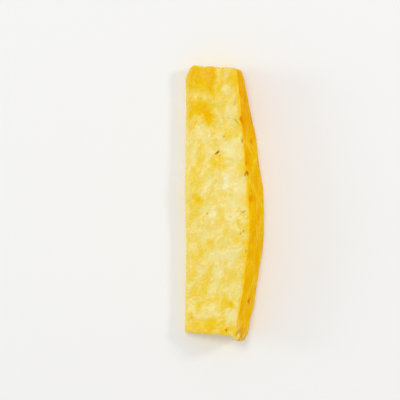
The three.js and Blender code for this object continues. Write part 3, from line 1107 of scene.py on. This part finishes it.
color = blend(tree, stored("end"), cut_color, end_color)
color = blend(tree, stored("peel"), color, peel_color)
color = blend(tree, stored("core"), color, core_color)
color = blend(tree, band(tree, stored("hole"), 0.05, 0.35), color, HOLE_RIM)
color = blend(tree, band(tree, stored("hole"), 0.35, 0.95), color, HOLE_BROWN)
tree.links.new(color, shader.inputs["Base Color"])
print("the colour of the flesh takes", len(tree.nodes), "nodes")

# %% [markdown]
# ## Wet and see-through
# Light enters the flesh and comes out golden nearby, so the shader scatters it inside, red farther than
# blue. A wet film mirrors the lamps. It is a coat over the flesh, thick on the cut face and thin on the
# peeled side and in glassy places, where the juice has sunk in. Lowering the roughness alone would make
# the fruit look waxed, because the film is smooth and the flesh under it isn't.

# %% Film and scattering
FILM_ON_CUT = 0.42
FILM_ON_PEEL = 0.14
FILM_ON_GOLD = 0.4  # the share of it that stays in golden places
FILM_ROUGHNESS = 0.14
JUICE_IOR = 1.33
SCATTER_SHARE = 0.5
SCATTER_RADIUS = (1.0, 0.6, 0.2)
SCATTER_SCALE = 1.1 * MM

film_here = band(tree, stored("peel"), 0.0, 1.0, FILM_ON_CUT, FILM_ON_PEEL)
film_here = sums(tree, "MULTIPLY", film_here, band(tree, stored("gold"), 0.4, 1.1, 1.0, FILM_ON_GOLD))
film_weight = sums(tree, "MULTIPLY", flesh_film["Wetness"], film_here)
tree.links.new(flesh_film["Roughness"], shader.inputs["Roughness"])
tree.links.new(film_weight, shader.inputs["Coat Weight"])
shader.inputs["Coat Roughness"].default_value = FILM_ROUGHNESS
shader.inputs["IOR"].default_value = JUICE_IOR
shader.inputs["Specular IOR Level"].default_value = 0.0
shader.inputs["Subsurface Weight"].default_value = SCATTER_SHARE
shader.inputs["Subsurface Radius"].default_value = SCATTER_RADIUS
shader.inputs["Subsurface Scale"].default_value = SCATTER_SCALE
print("flesh scatters light up to", round(SCATTER_SCALE / MM, 1), "mm deep")

# %% [markdown]
# ## Fine bumps of the flesh
# Single fibres, cell walls and flecks are finer than the mesh's points, but they break up what the wet
# film mirrors. Still more points could carry them, and would make the mesh too heavy. A bump in the
# shader is enough for them, along the fibres of each face.

# %% Bumps along the fibres
BUMP_DEPTH = 0.18 * MM
BUMP_STRENGTH = 0.45

cut_height = weighed(
    tree,
    (cut_streaks["Height"], 1.6),
    (flesh_cells["Height"], 0.5),
    (small_mottle["Flecks"], 0.3),
)
string_height = weighed(tree, (long_streaks["Height"], 1.0), (core_strings["Height"], 1.2))
on_strings = sums(tree, "MAXIMUM", stored("peel"), stored("core"))
height_step = sums(tree, "SUBTRACT", string_height, cut_height)
fine_height = sums(tree, "ADD", cut_height, sums(tree, "MULTIPLY", height_step, on_strings))
bump_values = {"Height": fine_height, "Distance": BUMP_DEPTH, "Strength": BUMP_STRENGTH}
bump = add_node(tree, "ShaderNodeBump", bump_values)
tree.links.new(bump.outputs["Normal"], shader.inputs["Normal"])
flesh_mesh.materials.append(flesh_finish)
print("bumps up to", round(BUMP_DEPTH / MM, 2), "mm,", len(tree.nodes), "nodes in all")

# %% [markdown]
# ## Loose bits
# Up close, a cut pineapple is a little untidy. Crumbs of pulp cling to the cut face, strands hang on the torn
# lip, and brown scraps of the flowers stay in the holes. They could be bumps in the flesh, but as small
# meshes they catch light and shade by themselves. Each kind is one piece made of many bits, set on the
# flesh's own points.

# %% Places on the flesh
FACES_THAT_WAY = 0.9  # how squarely a point has to face

normals = np.zeros(len(points) * 3, np.float32)
flesh_mesh.vertex_normals.foreach_get("vector", normals)
normals = normals.reshape(-1, 3)


def on_flesh(away):
    """The point of the flesh where a distance is smallest, and the way it faces."""
    best = int(np.argmin(away))
    return points[best], normals[best]


def on_cut(from_axis, at):
    """The same on the upper cut face, for a place in mm."""
    gap = np.hypot(radius - from_axis * MM, length_at - at * MM)
    return on_flesh(gap + (to_cut < FACES_THAT_WAY))


def on_peel(height, at):
    """The same on the peeled side, for an arc and a place along the fruit in mm."""
    gap = np.hypot(arc - height * MM, length_at - at * MM)
    return on_flesh(gap + (to_peel < FACES_THAT_WAY))


print("the highest place of the cut face is", round(float(points[:, 2].max()) / MM, 1), "mm up")

# %% A ball and a lump
LUMP_UNEVEN = 0.35
LUMP_RINGS, LUMP_SIDES = 8, 12


def frame_on(normal, turn):
    """Three directions as rows: two along the surface, turned by an angle, and one away from it."""
    side = np.cross((0, 1, 0), normal)
    side = side / np.linalg.norm(side)
    ahead = np.cross(normal, side)
    cosine, sine = math.cos(turn), math.sin(turn)
    return np.array([cosine * side + sine * ahead, cosine * ahead - sine * side, normal])


def ball(rings, sides):
    """A unit ball as points and faces."""
    belt = []
    for climb in np.linspace(-math.pi / 2, math.pi / 2, rings + 1)[1:-1]:
        for turn in np.arange(sides) * TURN / sides:
            belt.append((math.cos(climb) * math.cos(turn), math.cos(climb) * math.sin(turn), math.sin(climb)))
    last = (rings - 1) * sides
    faces = []
    for side in range(sides):
        after = (side + 1) % sides
        faces.append((last, after, side))
        faces.append((last + 1, last - sides + side, last - sides + after))
        for ring in range(rings - 2):
            lower, upper = ring * sides, (ring + 1) * sides
            faces.append((lower + side, lower + after, upper + after, upper + side))
    return np.array([*belt, (0, 0, -1), (0, 0, 1)]), faces


def lump(at, normal, size, turn, seed):
    """An uneven lump, half sunk in the surface."""
    shape, faces = ball(LUMP_RINGS, LUMP_SIDES)
    uneven = 1 + LUMP_UNEVEN * soft_noise(*(1.4 * shape.T), seed)
    shape = shape * uneven[:, None] * (np.array(size) * MM / 2)
    return at + shape @ frame_on(normal, turn), faces


print("a lump has", len(ball(LUMP_RINGS, LUMP_SIDES)[1]), "faces")

# %% A strand
STRAND_SIDES = 6
STRAND_TIP = 0.12  # how far from a point its ends stop, as an angle
STRAND_SWELL = 0.7


def strand(path, width, thick, away):
    """A flat strand along a path, thin at both ends, with its flat side towards a direction."""
    path = np.array(path)
    steps = np.gradient(path, axis=0)
    steps = steps / np.linalg.norm(steps, axis=1, keepdims=True)
    across = np.cross(steps, away)
    across = across / np.linalg.norm(across, axis=1, keepdims=True)
    rise = np.cross(across, steps)
    full = np.sin(np.linspace(STRAND_TIP, math.pi - STRAND_TIP, len(path)))[:, None, None] ** STRAND_SWELL
    turns = np.arange(STRAND_SIDES) * TURN / STRAND_SIDES
    wide_part = width / 2 * np.cos(turns)[:, None] * across[:, None]
    thick_part = thick / 2 * np.sin(turns)[:, None] * rise[:, None]
    rings = path[:, None] + full * (wide_part + thick_part)
    last = (len(path) - 1) * STRAND_SIDES
    faces = [tuple(range(STRAND_SIDES)), tuple(range(last, last + STRAND_SIDES))[::-1]]
    for lower in range(0, last, STRAND_SIDES):
        upper = lower + STRAND_SIDES
        for side in range(STRAND_SIDES):
            after = (side + 1) % STRAND_SIDES
            faces.append((upper + side, upper + after, lower + after, lower + side))
    return rings.reshape(-1, 3), faces


print("a strand has", STRAND_SIDES, "sides")

# %% Many bits as one piece
def piece_of(name, bits, finish):
    """One piece made of many bits, kept inside the solid's bounds."""
    all_points = []
    all_faces = []
    for bit_points, bit_faces in bits:
        start = sum(len(earlier) for earlier in all_points)
        all_points.append(np.clip(bit_points, cad_low, cad_high))
        all_faces.extend(tuple(start + index for index in face) for face in bit_faces)
    mesh = bpy.data.meshes.new(name)
    mesh.from_pydata(np.concatenate(all_points).tolist(), [], all_faces)
    mesh.polygons.foreach_set("use_smooth", np.ones(len(all_faces), bool))
    mesh.materials.append(finish)
    piece = bpy.data.objects.new(name, mesh)
    bpy.context.collection.objects.link(piece)
    print(name, "has", len(bits), "bits and", len(all_faces), "faces")
    return piece


# %% [markdown]
# ## Finishes of the bits
# Crumbs and strands are the same flesh, but thin, so they look paler and glassier. They use the shared
# groups over object coordinates, because they have no stored masks. Flower scraps are dry brown fibre.
# The flesh's own material would do for none of them: it reads masks that only the flesh carries.

# %% Finish of a bit
BIT_SHINE = 0.3
CRUMB_COLORS = (srgb(250, 222, 96), srgb(255, 238, 160))
STRAND_COLORS = (srgb(246, 200, 62), srgb(250, 220, 116))
SCRAP_COLORS = (srgb(182, 122, 16), srgb(216, 156, 44))


def bit_finish(name, colors, pattern, rough):
    """A plain finish that blends two colours by one output of a shared group."""
    group, values, output = pattern
    finish = bpy.data.materials.new(name)
    finish.use_nodes = True
    nodes = finish.node_tree
    place = add_node(nodes, "ShaderNodeTexCoord", {}).outputs["Object"]
    share = add_node(nodes, "ShaderNodeGroup", {"Place": place, **values}, node_tree=group).outputs[output]
    gloss = nodes.nodes["Principled BSDF"]
    nodes.links.new(blend(nodes, share, *colors), gloss.inputs["Base Color"])
    gloss.inputs["Roughness"].default_value = rough
    gloss.inputs["IOR"].default_value = JUICE_IOR
    gloss.inputs["Specular IOR Level"].default_value = BIT_SHINE
    print(name, "uses", group.name)
    return finish


small_patches = (mottle, {"Patch Size": 1.2 * MM, "Fleck Size": 0.5 * MM}, "Patches")
thin_fibres = (streaks, {"Fibre Length": 0.5 * MM, "Fibre Width": 2 * MM}, "Streaks")
pulp_finish = bit_finish("pale_pulp", CRUMB_COLORS, small_patches, 0.35)
strand_finish = bit_finish("glassy_strand", STRAND_COLORS, thin_fibres, 0.3)
scrap_finish = bit_finish("brown_scrap", SCRAP_COLORS, thin_fibres, 0.6)

# %% [markdown]
# ## Set the bits
# Chance sets them, but near places that show them in the photo. A particle system could strew crumbs
# too. Seeded dice and a list of places keep them where they belong, and the same each time.

# %% Crumbs of pulp
CRUMB_SPOTS = [
    # from the axis and along the fruit, in mm
    (27.5, 11.7),
    (36.4, -4.8),
    (43.6, -4.6),
    (32.0, 7.0),
    (23.0, 16.0),
    (37.0, 13.5),
    (41.0, 23.5),
    (30.0, -27.0),
    (36.0, -38.0),
    (31.0, -50.5),
    (37.6, -56.0),
    (29.0, -36.0),
]
CRUMBS_AT_A_SPOT = 2
CRUMB_STRAY = (1.3, 1.5)
CRUMB_LENGTH = (0.5, 1.3)
CRUMB_WIDTH = (0.5, 0.9)  # as shares of its length
CRUMB_THICK = 0.45

dice = np.random.default_rng(5)
crumbs = []
for seed, (from_axis, at) in enumerate(CRUMB_SPOTS):
    for _ in range(CRUMBS_AT_A_SPOT):
        crumb_out = from_axis + dice.normal(0, CRUMB_STRAY[0])
        spot, normal = on_cut(crumb_out, at + dice.normal(0, CRUMB_STRAY[1]))
        size = dice.uniform(*CRUMB_LENGTH) * np.array([1.0, dice.uniform(*CRUMB_WIDTH), CRUMB_THICK])
        crumbs.append(lump(spot, normal, size, dice.uniform(0, TURN), seed))
pulp_crumbs = piece_of("pulp_crumbs", crumbs, pulp_finish)

# %% Strands on the torn lip
STRANDS = 22
STRAND_STEPS = 9
STRAND_WIDTH = (0.3, 0.55)  # in mm
STRAND_THICK = 0.22 * MM
STRAND_WAVE = 0.18 * MM
STRAND_BULGE = 0.5 * MM
STRAND_SINK = 0.1 * MM
STRAND_ROOTS = (-59.2, -57.6)  # along the fruit, in mm
LIP_END = -59.5  # where the strands bend out
LIP_SPREAD = 3.0  # how far below the lip's tip most of them hang, in mm
STRAND_DRIFT = (0.2, 0.7)
STRAND_ROOM = cad_low[1] + 0.3 * MM  # they stay short of the solid's end
STRAND_REACH = ((-1.0, 0.2), (0.6, 2.4), (-0.6, 0.6))  # outwards, off the end and up, in mm
LIP_HEIGHT = (1 + LIP_UP) / 2 * peeled_radius(-1, LIP_UP) / MM * WEDGE_ANGLE  # the lip's tip, in mm

strands = []
for _ in range(STRANDS):
    height = LIP_HEIGHT - abs(dice.normal(0, LIP_SPREAD))
    start, normal = on_peel(height, dice.uniform(*STRAND_ROOTS))
    end, _ = on_peel(height + dice.normal(*STRAND_DRIFT), LIP_END)
    reach = np.array([dice.uniform(*span) for span in STRAND_REACH]) * (MM, -MM, MM)
    way = np.linspace(0, 1, STRAND_STEPS)[:, None]
    bulge = normal * (STRAND_BULGE * np.sin(math.pi * way) - STRAND_SINK)
    path = start + (end + reach - start) * way + bulge
    wave = np.sin(TURN * (way * dice.uniform(0.6, 1.4) + dice.uniform(0, 1)))
    path = path + STRAND_WAVE * wave * np.array([0, 0.4, 1])
    path[:, 1] = np.maximum(path[:, 1], STRAND_ROOM)
    strands.append(strand(path, dice.uniform(*STRAND_WIDTH) * MM, STRAND_THICK, normal))
torn_strands = piece_of("torn_strands", strands, strand_finish)

# %% Scraps in the holes
SCRAPS_IN_A_HOLE = 3
SCRAP_BROWN = 0.6  # only holes as brown as this hold any
SCRAP_STEPS = 7
SCRAP_WIDTH = 0.28 * MM
SCRAP_THICK = 0.2 * MM
SCRAP_LENGTH = 0.75  # as a share of the hole's
SCRAP_ARCH = 0.12 * MM
SCRAP_LIFT = (0.0, 0.15)  # in mm
SCRAP_TURN = 0.35
SCRAP_STRAY = 0.12

scraps = []
for from_axis, at, length, width, _, turn, brown in HOLES:
    if brown < SCRAP_BROWN:
        continue
    spot, normal = on_cut(from_axis, at)
    for _ in range(SCRAPS_IN_A_HOLE):
        across, ahead, away = frame_on(normal, -math.radians(turn) + dice.normal(0, SCRAP_TURN))
        way = np.linspace(-0.5, 0.5, SCRAP_STEPS)[:, None]
        shift = dice.normal(0, SCRAP_STRAY, 2) * width * MM
        path = spot + shift[0] * across + shift[1] * ahead + SCRAP_LENGTH * length * MM * way * ahead
        path = path + away * (SCRAP_ARCH * np.cos(math.pi * way) + dice.uniform(*SCRAP_LIFT) * MM)
        scraps.append(strand(path, SCRAP_WIDTH, SCRAP_THICK, away))
flower_scraps = piece_of("flower_scraps", scraps, scrap_finish)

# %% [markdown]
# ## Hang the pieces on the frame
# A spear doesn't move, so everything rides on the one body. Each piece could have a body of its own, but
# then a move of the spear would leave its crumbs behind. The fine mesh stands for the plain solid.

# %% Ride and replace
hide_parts("pineapple_spear")
pieces = (flesh, pulp_crumbs, torn_strands, flower_scraps)
for piece in pieces:
    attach(piece, "root")
print(len(pieces), "pieces ride on the spear's body")
